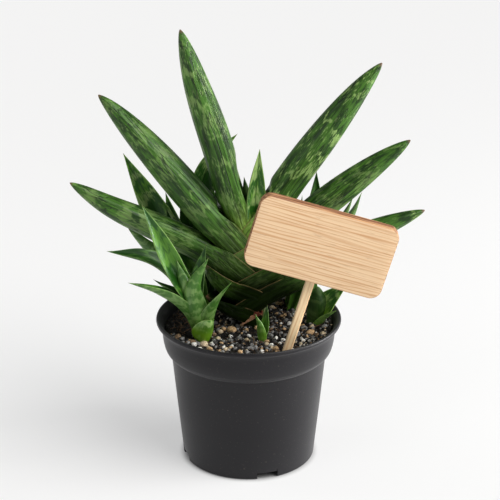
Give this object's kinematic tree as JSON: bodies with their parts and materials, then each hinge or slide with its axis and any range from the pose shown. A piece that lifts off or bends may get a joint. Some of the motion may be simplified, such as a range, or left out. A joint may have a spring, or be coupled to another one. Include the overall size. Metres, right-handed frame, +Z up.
{
  "type": "potted boncellensis snake plant",
  "caption": "Snake plant with a flat fan of thick round tapering leaves and small shoots, in a round nursery pot with a plain wooden label.",
  "frame": {"origin": "where the pot's axis meets the surface it stands on, which is the middle of the whole model's footprint", "axes": "+Z up, +X to the right along the fan of leaves, -Y towards the viewer of the front"},
  "size_m": [0.2277, 0.12, 0.2846],
  "materials": {
    "pot_plastic": "black moulded polypropylene with a satin face",
    "soil": "dark peaty soil with grey grit and tan and cream pebbles",
    "fan_leaf": "dark green succulent leaf with pale cross bands and fine grooves, waxy",
    "young_leaf": "fresh green channelled leaf with a pale edge, waxy",
    "crown": "pale green stem, hidden by the leaf bases",
    "board_wood": "bare light oak face with a reddish brown edge",
    "stick_wood": "bare pale wood"
  },
  "bodies": {
    "root": {"pot": "pot_plastic", "soil": "soil", "label_board": "board_wood", "label_stick": "stick_wood", "fan_crown": "crown", "fan_leaf_heart": "fan_leaf", "fan_leaf_heart_tip": "fan_leaf", "fan_leaf_tall": "fan_leaf", "fan_leaf_right_high": "fan_leaf", "fan_leaf_left_high": "fan_leaf", "fan_leaf_right_middle": "fan_leaf", "fan_leaf_left_low": "fan_leaf", "fan_leaf_right_low": "fan_leaf", "fan_leaf_base_left_upper": "fan_leaf", "fan_leaf_base_right": "fan_leaf", "fan_leaf_base_left_lower": "fan_leaf", "pup_front_left_crown": "crown", "pup_front_left_leaf_1": "young_leaf", "pup_front_left_leaf_2": "young_leaf", "pup_front_left_leaf_3": "young_leaf", "pup_front_left_leaf_4": "young_leaf", "pup_front_left_leaf_5": "young_leaf", "pup_front_left_leaf_6": "young_leaf", "pup_front_left_leaf_7": "young_leaf", "pup_front_left_leaf_8": "young_leaf", "pup_front_left_leaf_9": "young_leaf", "pup_back_left_crown": "crown", "pup_back_left_leaf_1": "young_leaf", "pup_back_left_leaf_2": "young_leaf", "pup_back_left_leaf_3": "young_leaf", "pup_back_left_leaf_4": "young_leaf", "pup_back_crown": "crown", "pup_back_leaf_1": "young_leaf", "pup_back_leaf_2": "young_leaf", "pup_back_leaf_3": "young_leaf", "pup_back_right_crown": "crown", "pup_back_right_leaf_1": "young_leaf", "pup_back_right_leaf_2": "young_leaf", "pup_back_right_leaf_3": "young_leaf", "pup_back_right_leaf_4": "young_leaf", "pup_right_crown": "crown", "pup_right_leaf_1": "young_leaf", "pup_right_leaf_2": "young_leaf", "pup_right_leaf_3": "young_leaf", "pup_right_leaf_4": "young_leaf", "pup_tiny_crown": "crown", "pup_tiny_leaf_1": "young_leaf", "pup_tiny_leaf_2": "young_leaf"}
  },
  "joints": []
}
